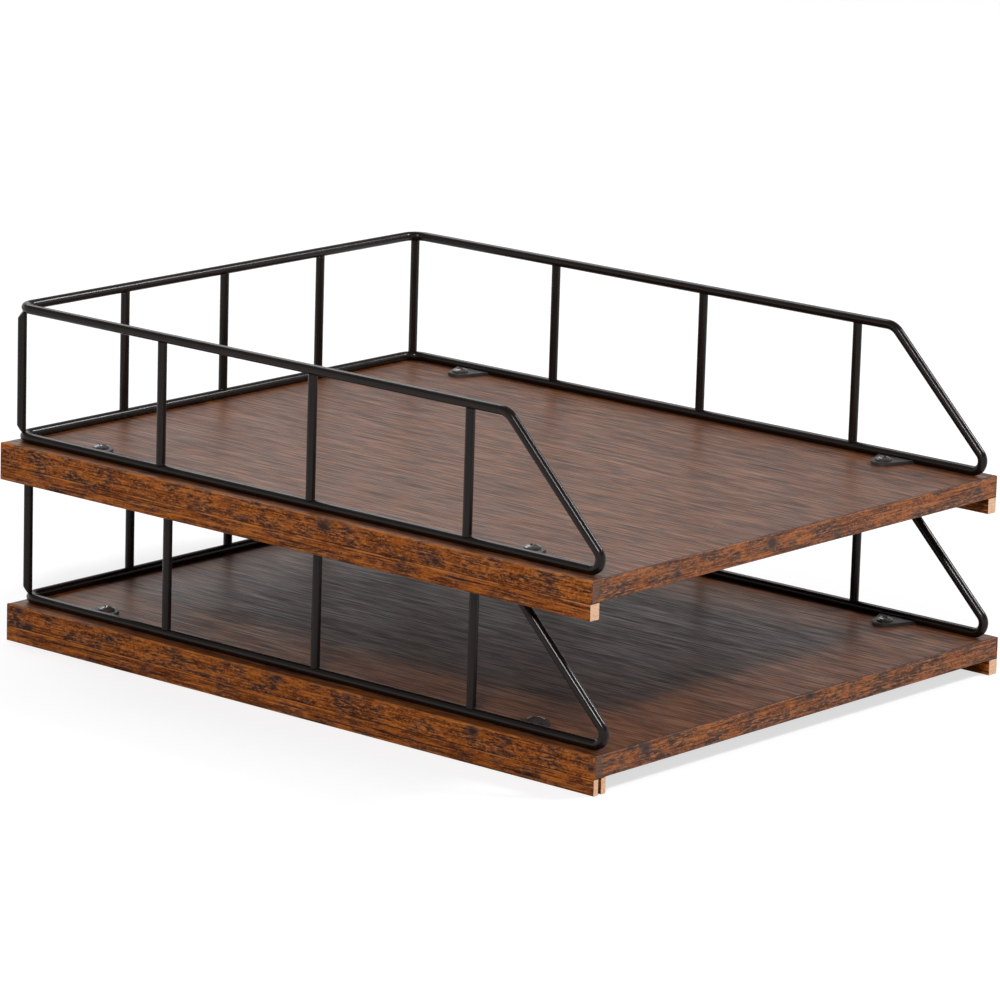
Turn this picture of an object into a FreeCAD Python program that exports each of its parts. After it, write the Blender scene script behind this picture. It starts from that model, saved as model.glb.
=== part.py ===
"""Desktop shelf: two like letter trays, one standing on the other.

Each tray is a laminated board on two runners, with a welded wire guard round three of its sides.
Millimetres, +Z up. The origin is the middle of the footprint, at the height of the desk.
The open front faces -Y, and left and right are as seen from there.
"""
import FreeCAD, Part
import os
import re
import Sketcher
from FreeCAD import Placement, Rotation, Vector

SIDE_BARS = ("rear", "middle", "front")
REAR_BARS = ("left", "middle", "right")

SIZES = [
    ("tray_length", 315, "board, front to rear"),
    ("tray_width", 259, "board, side to side"),
    ("board_thickness", 9.2, "board"),
    ("band_thickness", 1.0, "edge band all round the board"),
    ("edge_round", 0.6, "outer corners of the edge bands"),
    ("runner_height", 6.4, "runners under the long sides"),
    ("lath_thickness", 2.6, "each of the two laths that make a runner"),
    ("lath_round", 0.4, "lower corners of a lath"),
    ("open_joint", 1.8, "gap where the lower left runner has come apart"),
    ("wire_diameter", 4.0, "wire of the guard's closed loop"),
    ("guard_height", 57.8, "board's top to the top of the upper rail"),
    ("guard_setback", 0.2, "guard's wire behind the board's front and rear edges"),
    ("lean_angle", 45, "front members above the board, degrees"),
    ("front_bend", 4.5, "radius on the wire's centre line where a front member leaves the board"),
    ("top_bend", 8.0, "the same where it joins the upper rail"),
    ("corner_bend", 7.0, "the same at the rear corners"),
    ("bar_diameter", 3.8, "upright bars"),
    ("bar_bite", 0.8, "bar's end past the near side of the rail that it is welded to"),
    ("bar_chamfer", 0.6, "corners of a bar's ends"),
    ("front_bar_inset", 15.5, "front side bars behind the start of the upper rail"),
    ("rear_bar_pitch", 60, "rear bars, counted from the middle"),
    ("corner_bar_inset", 1.0, "corner bar inside the lines of the two rails that meet there"),
    ("corner_bar_slope", 53.5, "outer side of a corner bar's ground ends, degrees"),
    ("tab_thickness", 1.5, "mounting tabs"),
    ("tab_length", 18, "tab along the rail"),
    ("tab_tip", 10.4, "width of the tab's round end"),
    ("tab_bite", 1.0, "tab's inner edge past the middle of the rail"),
    ("front_tab_inset", 44.5, "front tabs behind the board's front edge"),
    ("rear_tab_inset", 39.5, "rear tabs before the board's rear edge"),
    ("screw_offset", 10.5, "screw inboard of the rail"),
    ("screw_diameter", 3.5, "screw's shank and its pilot in the board"),
    ("screw_length", 9.5, "screw below its head"),
    ("screw_point", 2.5, "height of the screw's point"),
    ("screw_hole", 4.2, "hole in a tab"),
    ("head_diameter", 6.8, "screw's domed head"),
    ("head_height", 1.8, "screw's domed head"),
    ("head_rim", 0.8, "straight edge of the head below its dome"),
    ("pilot_spare", 0.2, "pilot below the screw's point"),
    ("side_clearance", 0.5, "runner beside the rail that it stands around"),
    ("seat_clearance", 0.3, "upper board above the rails that carry it"),
    ("upper_setback", 4.5, "upper tray behind the lower one, as it has been put down"),
]

WORKED_OUT = [
    ("board_top", "runner_height + board_thickness", "top of the board"),
    ("low_rail", "board_top + wire_diameter / 2", "height of the lower rail"),
    ("high_rail", "board_top + guard_height - wire_diameter / 2", "height of the upper rail"),
    ("rail_rise", "high_rail - low_rail", "upper rail above the lower"),
    ("rail_middle", "(high_rail + low_rail) / 2", "height half way between the rails"),
    ("rail_side", "tray_width / 2 - 2 * lath_thickness - side_clearance - wire_diameter / 2", "side rails"),
    ("rail_rear", "tray_length / 2 - guard_setback - wire_diameter / 2", "rear rails"),
    ("bend_start", "guard_setback + wire_diameter / 2 + front_bend - tray_length / 2", "front bend starts"),
    ("foot_corner", "bend_start - front_bend * tan(90 - lean_angle / 2)", "sharp corner of that bend"),
    ("head_corner", "foot_corner + rail_rise / tan(lean_angle)", "sharp corner of the bend above"),
    ("top_start", "head_corner + top_bend * tan(lean_angle / 2)", "upper rail starts"),
    ("side_bar_pitch", "(rail_rear - top_start - front_bar_inset) / 3", "side bars, evenly"),
    ("corner_reach", "sqrt(2) * (corner_bend - corner_bar_inset)", "corner bar from the bend's own centre"),
    ("slope_width", "bar_diameter + corner_reach - corner_bend", "width that the grinding takes"),
    ("bar_length", "rail_rise - wire_diameter + 2 * bar_bite", "bar before its ends are coped"),
    ("screw_line", "rail_side - screw_offset", "screws from the tray's middle"),
    ("front_tab", "front_tab_inset - tray_length / 2", "front tabs"),
    ("rear_tab", "tray_length / 2 - rear_tab_inset", "rear tabs"),
    ("tray_pitch", "board_thickness + guard_height + seat_clearance", "upper tray above the lower"),
]

document = FreeCAD.newDocument("DesktopShelf")
sheet = document.addObject("Spreadsheet::Sheet", "Size")
nodes = []


def fill_sheet():
    """Names every size in the sheet: the driving ones first, then those worked out from them."""
    for row, (name, number, words) in enumerate(SIZES + WORKED_OUT, 1):
        text = str(number) if (name, number, words) in SIZES else "=" + number
        sheet.set("A%d" % row, name)
        sheet.set("B%d" % row, text)
        sheet.set("C%d" % row, words)
        sheet.setAlias("B%d" % row, name)
    document.recompute()


def looked_up(text):
    """The expression with each size's name, always two words or more, looked up in the sheet."""
    return re.sub(r"[a-z]+(?:_[a-z]+)+", lambda name: "Size." + name.group(), text)


def value(text):
    """What the expression comes to now."""
    return float(sheet.evalExpression(looked_up(text)))


def tie(thing, what, text):
    """Binds one value of a document object to an expression of sizes."""
    thing.setExpression(what, looked_up(text))


def new_body(label):
    """An empty body whose label names its file."""
    body = document.addObject("PartDesign::Body", label)
    body.Label = label
    return body


def put(body, tray, across, along, up, turn=0):
    """Places a body in its tray, turned about the upright axis, and lists it as a node of its own."""
    place_body(body, tray, across, along, up, turn)
    nodes.append(body)


def place_body(body, tray, across, along, up, turn=0):
    """Ties a body's place to the tray that it belongs to."""
    body.Placement = Placement(Vector(), Rotation(Vector(0, 0, 1), turn))
    tie(body, "Placement.Base.x", across)
    tie(body, "Placement.Base.y", "%s + %s" % (along, tray["shift"]))
    tie(body, "Placement.Base.z", "%s + %s" % (up, tray["lift"]))


def origin_plane(body, role):
    """One of the body's own three planes."""
    return next(plane for plane in body.Origin.OriginFeatures if plane.Role == role)


def new_sketch(body, name, role, offset="0"):
    """An empty sketch on one of the body's planes, that far along the plane's normal."""
    sketch = body.newObject("Sketcher::SketchObject", name)
    sketch.AttachmentSupport = [(origin_plane(body, role), "")]
    sketch.MapMode = "FlatFace"
    tie(sketch, "AttachmentOffset.Base.z", offset)
    return sketch


def dimension(sketch, kind, on, text):
    """A driving dimension tied to the sheet."""
    number = sketch.addConstraint(Sketcher.Constraint(kind, *on, value(text)))
    tie(sketch, "Constraints[%d]" % number, text)


def hold(sketch, shape, point, across="", up=""):
    """Holds a point of a shape at two distances from the origin; an empty one puts it on the axis."""
    if across:
        dimension(sketch, "DistanceX", (-1, 1, shape, point), across)
    else:
        sketch.addConstraint(Sketcher.Constraint("PointOnObject", shape, point, -2))
    if up:
        dimension(sketch, "DistanceY", (-1, 1, shape, point), up)
    else:
        sketch.addConstraint(Sketcher.Constraint("PointOnObject", shape, point, -1))


def draw_circle(sketch, diameter, across="", up=""):
    """A circle that far from the sketch's origin."""
    middle = Vector(value(across or "0"), value(up or "0"), 0)
    circle = sketch.addGeometry(Part.Circle(middle, Vector(0, 0, 1), value(diameter) / 2))
    dimension(sketch, "Diameter", (circle,), diameter)
    hold(sketch, circle, 3, across, up)


def draw_lines(sketch, corners):
    """A closed outline of straight lines; each starts at the corner of its own number."""
    count = len(corners)
    for number in range(count):
        sketch.addGeometry(Part.LineSegment(corners[number], corners[(number + 1) % count]))
    for number in range(count):
        sketch.addConstraint(Sketcher.Constraint("Coincident", number, 2, (number + 1) % count, 1))


def draw_rectangle(sketch, across, up):
    """A rectangle centred on the sketch's origin."""
    right = value(across) / 2
    top = value(up) / 2
    corners = [(-right, -top), (right, -top), (right, top), (-right, top)]
    draw_lines(sketch, [Vector(x, y, 0) for x, y in corners])
    for number, kind in enumerate(("Horizontal", "Vertical", "Horizontal", "Vertical")):
        sketch.addConstraint(Sketcher.Constraint(kind, number))
    sketch.addConstraint(Sketcher.Constraint("Symmetric", 0, 1, 2, 1, -1, 1))
    dimension(sketch, "DistanceX", (0, 1, 0, 2), across)
    dimension(sketch, "DistanceY", (1, 1, 1, 2), up)


def join_smoothly(sketch, first, first_end, second, second_end):
    """Two sketched shapes meet end to end on one tangent."""
    sketch.addConstraint(Sketcher.Constraint("Tangent", first, first_end, second, second_end))


def grow(body, kind, name, sketch, **settings):
    """A feature made from a sketch, which becomes the body's tip."""
    feature = body.newObject("PartDesign::" + kind, name)
    feature.Profile = sketch
    for what, setting in settings.items():
        setattr(feature, what, setting)
    body.Tip = feature
    return feature


def pad(body, name, sketch, height, both_ways=False):
    """Raises a sketch to a height, or by half of it each way."""
    feature = grow(body, "Pad", name, sketch, Midplane=both_ways)
    tie(feature, "Length", height)
    return feature


def cut_through(body, name, sketch):
    """Cuts a sketch right through the body, both ways from its plane."""
    return grow(body, "Pocket", name, sketch, Type="ThroughAll", Midplane=True)


def mirror(body, name, features, role):
    """Repeats features on the other side of one of the body's planes."""
    feature = body.newObject("PartDesign::Mirrored", name)
    feature.Originals = features
    feature.MirrorPlane = (origin_plane(body, role), [""])
    body.Tip = feature
    return feature


def dress(body, kind, name, wanted, size_name, text):
    """Rounds or chamfers those edges of the body that are wanted."""
    document.recompute()
    base = body.Tip
    edges = ["Edge%d" % number for number, edge in enumerate(base.Shape.Edges, 1) if wanted(edge)]
    feature = body.newObject("PartDesign::" + kind, name)
    feature.Base = (base, edges)
    tie(feature, size_name, text)
    body.Tip = feature


def runs_along(edge, direction):
    """True for a straight edge along the direction."""
    if edge.Curve.TypeId != "Part::GeomLine":
        return False
    return abs(edge.tangentAt(edge.FirstParameter).dot(direction)) > 0.999


def is_round(edge):
    """True for an edge that is a circle or a part of one."""
    return edge.Curve.TypeId == "Part::GeomCircle"


def make_board(tray):
    """The board without its edge bands, with a pilot hole for each screw."""
    body = new_body(tray["name"] + "_board")
    outline = new_sketch(body, "BoardOutline", "XY_Plane")
    draw_rectangle(outline, "tray_width - 2 * band_thickness", "tray_length - 2 * band_thickness")
    pad(body, "Board", outline, "board_thickness")
    pilots = new_sketch(body, "PilotCentres", "XY_Plane", "board_thickness")
    for side in ("-", ""):
        for along in ("front_tab", "rear_tab"):
            draw_circle(pilots, "screw_diameter", side + "screw_line", along)
    holes = grow(body, "Pocket", "Pilots", pilots)
    tie(holes, "Length", "screw_length - tab_thickness + pilot_spare")
    put(body, tray, "0", "0", "runner_height")


def make_band(tray, side, length, across, along, turn, free_below):
    """An edge band of the board. Its outer face looks along -X before it is turned."""
    body = new_body("%s_%s_band" % (tray["name"], side))
    outline = new_sketch(body, "BandOutline", "XY_Plane")
    draw_rectangle(outline, "band_thickness", length)
    pad(body, "Band", outline, "board_thickness")

    def outer_corner(edge):
        middle = edge.CenterOfMass
        high = middle.z > value("board_thickness / 2")
        return runs_along(edge, Vector(0, 1, 0)) and middle.x < 0 and (high or free_below)

    dress(body, "Fillet", "OuterCorners", outer_corner, "Radius", "edge_round")
    put(body, tray, across, along, "runner_height", turn)


def make_bands(tray):
    """The side bands run the full length, and the front and rear ones lie between them."""
    across = "tray_width / 2 - band_thickness / 2"
    along = "tray_length / 2 - band_thickness / 2"
    between = "tray_width - 2 * band_thickness"
    make_band(tray, "left", "tray_length", "-(%s)" % across, "0", 0, False)
    make_band(tray, "right", "tray_length", across, "0", 180, False)
    make_band(tray, "front", between, "0", "-(%s)" % along, 90, True)
    make_band(tray, "rear", between, "0", along, -90, True)


def make_lath(tray, name, across):
    """A runner's lath, with its lower corners rounded by the laminate that is wrapped round it."""
    body = new_body("%s_%s_lath" % (tray["name"], name))
    outline = new_sketch(body, "LathOutline", "XY_Plane")
    draw_rectangle(outline, "lath_thickness", "tray_length")
    pad(body, "Lath", outline, "runner_height")

    def lower_corner(edge):
        return runs_along(edge, Vector(0, 1, 0)) and edge.CenterOfMass.z < value("runner_height / 2")

    dress(body, "Fillet", "LowerCorners", lower_corner, "Radius", "lath_round")
    put(body, tray, across, "0", "0")


def make_runners(tray):
    """Two laths face to face under each long side, flush with the board."""
    outer = "tray_width / 2 - lath_thickness / 2"
    inner = outer + " - lath_thickness"
    make_lath(tray, "left_outer", "-(%s)" % outer)
    make_lath(tray, "left_inner", "-(%s - %s)" % (inner, tray["left_gap"]))
    make_lath(tray, "right_outer", outer)
    make_lath(tray, "right_inner", inner)


def draw_rail(body, name, height, start):
    """The centre line of a rail: back on the left side, across the rear, forward on the right side."""
    path = new_sketch(body, name, "XY_Plane", height)
    side = value("rail_side")
    rear = value("rail_rear")
    front = value(start)
    radius = value("corner_bend")
    upright = Vector(0, 0, 1)
    left_centre = Vector(radius - side, rear - radius, 0)
    right_centre = Vector(side - radius, rear - radius, 0)
    quarter = value("pi / 2")
    path.addGeometry(Part.LineSegment(Vector(-side, front, 0), Vector(-side, rear - radius, 0)))
    path.addGeometry(Part.ArcOfCircle(Part.Circle(left_centre, upright, radius), quarter, 2 * quarter))
    path.addGeometry(Part.LineSegment(Vector(radius - side, rear, 0), Vector(side - radius, rear, 0)))
    path.addGeometry(Part.ArcOfCircle(Part.Circle(right_centre, upright, radius), 0, quarter))
    path.addGeometry(Part.LineSegment(Vector(side, rear - radius, 0), Vector(side, front, 0)))
    left, left_arc, across, right_arc, right = range(5)
    join_smoothly(path, left, 2, left_arc, 2)
    join_smoothly(path, left_arc, 1, across, 1)
    join_smoothly(path, across, 2, right_arc, 2)
    join_smoothly(path, right_arc, 1, right, 1)
    path.addConstraint(Sketcher.Constraint("Vertical", left))
    path.addConstraint(Sketcher.Constraint("Horizontal", across))
    path.addConstraint(Sketcher.Constraint("Equal", left_arc, right_arc))
    path.addConstraint(Sketcher.Constraint("Symmetric", left, 1, right, 2, -2))
    dimension(path, "Radius", (left_arc,), "corner_bend")
    hold(path, left, 1, "-rail_side", start)
    dimension(path, "DistanceY", (-1, 1, across, 1), "rail_rear")
    return path


def draw_front_member(body):
    """The centre line of the left front member: out of the lower rail, up and back, into the upper rail."""
    path = new_sketch(body, "FrontMemberPath", "YZ_Plane", "-rail_side")
    low = value("low_rail")
    high = value("high_rail")
    lean = value("lean_angle * pi / 180")
    quarter = value("pi / 2")
    foot_centre = Vector(value("bend_start"), low + value("front_bend"), 0)
    head_centre = Vector(value("top_start"), high - value("top_bend"), 0)
    foot = Part.Circle(foot_centre, Vector(0, 0, 1), value("front_bend"))
    head = Part.Circle(head_centre, Vector(0, 0, 1), value("top_bend"))
    foot_arc = Part.ArcOfCircle(foot, quarter + lean, 3 * quarter)
    head_arc = Part.ArcOfCircle(head, quarter, quarter + lean)
    path.addGeometry(foot_arc)
    path.addGeometry(Part.LineSegment(foot_arc.StartPoint, head_arc.EndPoint))
    path.addGeometry(head_arc)
    below, member, above = range(3)
    join_smoothly(path, below, 1, member, 1)
    join_smoothly(path, member, 2, above, 2)
    dimension(path, "Radius", (below,), "front_bend")
    dimension(path, "Radius", (above,), "top_bend")
    hold(path, below, 2, "bend_start", "low_rail")
    dimension(path, "DistanceX", (-1, 1, below, 3), "bend_start")
    hold(path, above, 1, "top_start", "high_rail")
    dimension(path, "DistanceX", (-1, 1, above, 3), "top_start")
    return path


def sweep(body, name, start, height, path):
    """Sweeps the wire's round section along a centre line that starts there on the left side."""
    section = new_sketch(body, name + "Section", "XZ_Plane", "-(%s)" % start)
    draw_circle(section, "wire_diameter", "-rail_side", height)
    return grow(body, "AdditivePipe", name, section, Spine=path)


def make_guard_wire(tray):
    """One wire bent into a closed loop: lower rail, two front members that lean back, upper rail."""
    body = new_body(tray["name"] + "_guard_wire")
    lower = draw_rail(body, "LowerRailPath", "low_rail", "bend_start")
    upper = draw_rail(body, "UpperRailPath", "high_rail", "top_start")
    member = draw_front_member(body)
    sweep(body, "LowerRail", "bend_start", "low_rail", lower)
    left_member = sweep(body, "FrontMember", "bend_start", "low_rail", member)
    mirror(body, "OtherFrontMember", [left_member], "YZ_Plane")
    sweep(body, "UpperRail", "top_start", "high_rail", upper)
    put(body, tray, "0", "0", "0")


def raise_bar(label):
    """A plain round bar, centred half way between the rails."""
    body = new_body(label)
    section = new_sketch(body, "BarSection", "XY_Plane")
    draw_circle(section, "bar_diameter")
    pad(body, "Bar", section, "bar_length", True)
    return body


def make_straight_bar(tray, name, across, along, rail_plane):
    """An upright bar between two straight rails, whose ends are chamfered and coped round them."""
    body = raise_bar("%s_%s_bar" % (tray["name"], name))
    dress(body, "Chamfer", "Ends", is_round, "Size", "bar_chamfer")
    rail = new_sketch(body, "RailSection", rail_plane)
    draw_circle(rail, "wire_diameter", "", "rail_rise / 2")
    cope = cut_through(body, "Cope", rail)
    mirror(body, "OtherCope", [cope], "XY_Plane")
    put(body, tray, across, along, "rail_middle")


def make_corner_bar(tray, side, across, turn):
    """An upright bar welded to the outside of the rear bends. Its outer side, +X here, is ground off."""
    body = raise_bar("%s_%s_corner_bar" % (tray["name"], side))
    bend = new_sketch(body, "BendSection", "XZ_Plane")
    draw_circle(bend, "wire_diameter", "corner_bend - corner_reach", "rail_rise / 2")
    centre = Vector(-value("corner_reach"), 0, 0)
    axis = bend.addGeometry(Part.LineSegment(centre, centre + Vector(0, value("corner_bend"), 0)), True)
    bend.addConstraint(Sketcher.Constraint("Vertical", axis))
    hold(bend, axis, 1, "-corner_reach")
    dimension(bend, "DistanceY", (axis, 1, axis, 2), "corner_bend")
    cope = grow(body, "Groove", "Cope", bend, ReferenceAxis=(bend, ["Axis0"]), Angle=360)

    slope = new_sketch(body, "SlopeOutline", "XZ_Plane")
    inner = Vector(value("corner_bend - corner_reach"), value("rail_rise / 2"), 0)
    outer = Vector(value("bar_diameter"), inner.y, 0)
    fall = value("slope_width * tan(corner_bar_slope)")
    draw_lines(slope, [inner, outer, outer - Vector(0, fall, 0)])
    slope.addConstraint(Sketcher.Constraint("Horizontal", 0))
    slope.addConstraint(Sketcher.Constraint("Vertical", 1))
    hold(slope, 0, 1, "corner_bend - corner_reach", "rail_rise / 2")
    dimension(slope, "DistanceX", (-1, 1, 0, 2), "bar_diameter")
    dimension(slope, "DistanceY", (1, 2, 1, 1), "slope_width * tan(corner_bar_slope)")
    grinding = cut_through(body, "Grinding", slope)
    mirror(body, "OtherEnd", [cope, grinding], "XY_Plane")
    put(body, tray, across, "rail_rear - corner_bar_inset", "rail_middle", turn)


def make_bars(tray):
    """Three bars on each side, three at the rear and one at each rear corner."""
    for count, name in enumerate(SIDE_BARS, 1):
        along = "rail_rear - %d * side_bar_pitch" % count
        make_straight_bar(tray, "left_" + name, "-rail_side", along, "XZ_Plane")
        make_straight_bar(tray, "right_" + name, "rail_side", along, "XZ_Plane")
    for count, name in enumerate(REAR_BARS, -1):
        make_straight_bar(tray, "rear_" + name, "%d * rear_bar_pitch" % count, "rail_rear", "YZ_Plane")
    make_corner_bar(tray, "left", "corner_bar_inset - rail_side", 135)
    make_corner_bar(tray, "right", "rail_side - corner_bar_inset", 45)


def make_tab(tray, name, across, along, turn):
    """A flat ear on the board, welded to the inner side of the lower rail. It reaches out along +X."""
    body = new_body("%s_%s_tab" % (tray["name"], name))
    outline = new_sketch(body, "TabOutline", "XY_Plane")
    half = value("tab_length / 2")
    start = value("tab_bite")
    centre = Vector(value("screw_offset"), 0, 0)
    radius = value("tab_tip / 2")
    turn_off = value("pi / 2.4")
    tip = Part.ArcOfCircle(Part.Circle(centre, Vector(0, 0, 1), radius), -turn_off, turn_off)
    outline.addGeometry(Part.LineSegment(Vector(start, half, 0), Vector(start, -half, 0)))
    outline.addGeometry(Part.LineSegment(Vector(start, -half, 0), tip.StartPoint))
    outline.addGeometry(tip)
    outline.addGeometry(Part.LineSegment(tip.EndPoint, Vector(start, half, 0)))
    root, near, end, far = range(4)
    outline.addConstraint(Sketcher.Constraint("Coincident", root, 2, near, 1))
    outline.addConstraint(Sketcher.Constraint("Coincident", far, 2, root, 1))
    join_smoothly(outline, near, 2, end, 1)
    join_smoothly(outline, end, 2, far, 1)
    hold(outline, end, 3, "screw_offset")
    dimension(outline, "Radius", (end,), "tab_tip / 2")
    hold(outline, root, 1, "tab_bite", "tab_length / 2")
    hold(outline, root, 2, "tab_bite", "-tab_length / 2")
    draw_circle(outline, "screw_hole", "screw_offset")
    pad(body, "Tab", outline, "tab_thickness")
    rail = new_sketch(body, "RailSection", "XZ_Plane")
    draw_circle(rail, "wire_diameter", "", "wire_diameter / 2")
    cut_through(body, "Cope", rail)
    put(body, tray, across, along, "board_top", turn)


def make_screw(tray, name, across, along):
    """A wood screw with a domed head, standing on its tab."""
    body = new_body("%s_%s_screw" % (tray["name"], name))
    outline = new_sketch(body, "ScrewOutline", "XZ_Plane")
    rim = value("head_diameter / 2")
    dome = value("head_height - head_rim")
    radius = (rim * rim + dome * dome) / (2 * dome)
    top = Vector(0, value("head_height"), 0)
    corner = Vector(rim, value("head_rim"), 0)
    shank = value("screw_diameter / 2")
    neck = Vector(shank, value("screw_point - screw_length"), 0)
    tip = Vector(0, -value("screw_length"), 0)
    corners = [corner, Vector(rim, 0, 0), Vector(shank, 0, 0), neck, tip, top]
    for first, second in zip(corners, corners[1:]):
        outline.addGeometry(Part.LineSegment(first, second))
    ball = Part.Circle(top - Vector(0, radius, 0), Vector(0, 0, 1), radius)
    outline.addGeometry(Part.ArcOfCircle(ball, ball.parameter(corner), value("pi / 2")))
    side, under, shaft, point, axis, crown = range(6)
    for number in range(4):
        outline.addConstraint(Sketcher.Constraint("Coincident", number, 2, number + 1, 1))
    outline.addConstraint(Sketcher.Constraint("Coincident", axis, 2, crown, 2))
    outline.addConstraint(Sketcher.Constraint("Coincident", crown, 1, side, 1))
    outline.addConstraint(Sketcher.Constraint("PointOnObject", crown, 3, -2))
    outline.addConstraint(Sketcher.Constraint("Vertical", side))
    outline.addConstraint(Sketcher.Constraint("Vertical", shaft))
    hold(outline, side, 1, "head_diameter / 2", "head_rim")
    outline.addConstraint(Sketcher.Constraint("PointOnObject", side, 2, -1))
    hold(outline, shaft, 1, "screw_diameter / 2")
    dimension(outline, "DistanceY", (-1, 1, shaft, 2), "screw_point - screw_length")
    hold(outline, axis, 1, "", "-screw_length")
    hold(outline, axis, 2, "", "head_height")
    grow(body, "Revolution", "Screw", outline, ReferenceAxis=(outline, ["V_Axis"]), Angle=360)
    place_body(body, tray, across, along, "board_top + tab_thickness")
    return body


def make_fixings(tray):
    """A tab and a screw near each end of both long sides. The screws are one group of separate solids."""
    screws = []
    for name, along in (("front", "front_tab"), ("rear", "rear_tab")):
        make_tab(tray, "left_" + name, "-rail_side", along, 0)
        make_tab(tray, "right_" + name, "rail_side", along, 180)
        screws.append(make_screw(tray, "left_" + name, "-screw_line", along))
        screws.append(make_screw(tray, "right_" + name, "screw_line", along))
    group = document.addObject("Part::Compound", tray["name"] + "_tab_screws")
    group.Label = tray["name"] + "_tab_screws"
    group.Links = screws
    nodes.append(group)


def make_tray(name, shift, lift, left_gap):
    """One whole tray, shifted back and lifted as it stands in the shelf."""
    tray = {"name": name, "shift": shift, "lift": lift, "left_gap": left_gap}
    make_board(tray)
    make_bands(tray)
    make_runners(tray)
    make_guard_wire(tray)
    make_bars(tray)
    make_fixings(tray)


def check_model():
    """Stops before anything is written if an object failed or a node's shape is not sound."""
    for thing in document.Objects:
        if "Invalid" in thing.State or "Error" in thing.State:
            raise RuntimeError("%s failed: %s" % (thing.Label, thing.State))
    for node in nodes:
        if node.Shape.isNull() or not node.Shape.isValid() or not node.Shape.Solids:
            raise RuntimeError("%s has no sound shape" % node.Label)


def write_nodes():
    """One file for each node, named by its label."""
    os.makedirs("parts", exist_ok=True)
    for node in nodes:
        node.Shape.exportStep(os.path.join("parts", node.Label + ".step"))
        print(node.Label, len(node.Shape.Solids), round(node.Shape.Volume, 1))


fill_sheet()
make_tray("lower", "-upper_setback / 2", "0", "open_joint")
make_tray("upper", "upper_setback / 2", "tray_pitch", "0")
document.recompute()
check_model()
write_nodes()
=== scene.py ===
"""Desktop shelf: two like letter trays, one standing on the other.

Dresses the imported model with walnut-look laminate, powder-coated wire, welds and cross-head screws.
Metres, +Z up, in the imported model's frame. The open front faces -Y, and left is -X.
"""
import math

import bpy
from bpy.props import FloatProperty, FloatVectorProperty, IntProperty, PointerProperty
from mathutils import Matrix, Vector


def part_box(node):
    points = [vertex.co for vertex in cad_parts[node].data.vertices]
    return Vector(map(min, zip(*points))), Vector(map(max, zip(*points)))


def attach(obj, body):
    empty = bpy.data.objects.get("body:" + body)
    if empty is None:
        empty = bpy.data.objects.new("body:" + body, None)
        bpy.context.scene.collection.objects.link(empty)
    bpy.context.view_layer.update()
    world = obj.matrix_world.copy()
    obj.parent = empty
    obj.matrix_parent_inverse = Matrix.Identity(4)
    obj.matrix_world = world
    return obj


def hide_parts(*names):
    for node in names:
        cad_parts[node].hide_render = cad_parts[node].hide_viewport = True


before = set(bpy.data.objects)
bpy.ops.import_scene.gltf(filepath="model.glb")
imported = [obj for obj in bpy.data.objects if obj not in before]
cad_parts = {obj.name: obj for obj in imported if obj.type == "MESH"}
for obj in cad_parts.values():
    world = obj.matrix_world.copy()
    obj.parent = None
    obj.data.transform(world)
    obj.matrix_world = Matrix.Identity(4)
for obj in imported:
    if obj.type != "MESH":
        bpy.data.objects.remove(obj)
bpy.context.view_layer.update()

bl_info = {
    "name": "Desktop Shelf",
    "version": (1, 0, 0),
    "blender": (4, 5, 0),
    "location": "3D View > Sidebar > Desktop Shelf",
    "description": "Laminate, powder coat, welds and screws for two stacking letter trays",
    "category": "Object",
}

MM = 0.001
WHITE = (1, 1, 1, 1)
TRAYS = ("lower", "upper")
SIDES = ("left", "right")
ENDS = ("front", "rear")
SIDE_BARS = ("rear_bar", "middle_bar", "front_bar")
REAR_BARS = ("rear_left_bar", "rear_middle_bar", "rear_right_bar")
CORNER_BARS = ("left_corner_bar", "right_corner_bar")
LATHS = ("left_outer_lath", "left_inner_lath", "right_outer_lath", "right_inner_lath")
TABS = ("left_front_tab", "right_front_tab", "left_rear_tab", "right_rear_tab")

# A face looks along a direction when the cosine between them is more than this.
FACING = 0.9
SMOOTH_UP_TO = math.radians(35)

# Each soft box: its name, where it stands and the side of its square.
LAMPS = (
    ("key", (-1.9, -1.2, 1.9), 0.4),
    ("fill", (1.5, -1.0, 1.6), 0.42),
    ("back", (0.9, 1.7, 1.9), 1.3),
)
LAMPS_AIM = (0, 0, 0.07)
FLOOR_SIDE = 12


def linear(hex_colour):
    """The linear colour, with full alpha, of an sRGB hex value."""
    channels = []
    for start in (1, 3, 5):
        part = int(hex_colour[start:start + 2], 16) / 255
        channels.append(part / 12.92 if part <= 0.04045 else ((part + 0.055) / 1.055) ** 2.4)
    return (*channels, 1.0)


def colour(name, description, hex_colour):
    """A colour that the user can change."""
    return FloatVectorProperty(name=name, description=description, default=linear(hex_colour),
                               subtype="COLOR", size=4, min=0, max=1)


def length(name, description, millimetres):
    """A length that the user can change."""
    return FloatProperty(name=name, description=description, default=millimetres * MM,
                         min=0, subtype="DISTANCE", unit="LENGTH", precision=5)


def angle(name, description, degrees):
    """An angle that the user can change."""
    return FloatProperty(name=name, description=description, default=math.radians(degrees),
                         subtype="ANGLE", unit="ROTATION")


def power(name, description, watts):
    """A lamp's power that the user can change."""
    return FloatProperty(name=name, description=description, default=watts, min=0, unit="POWER")


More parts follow.
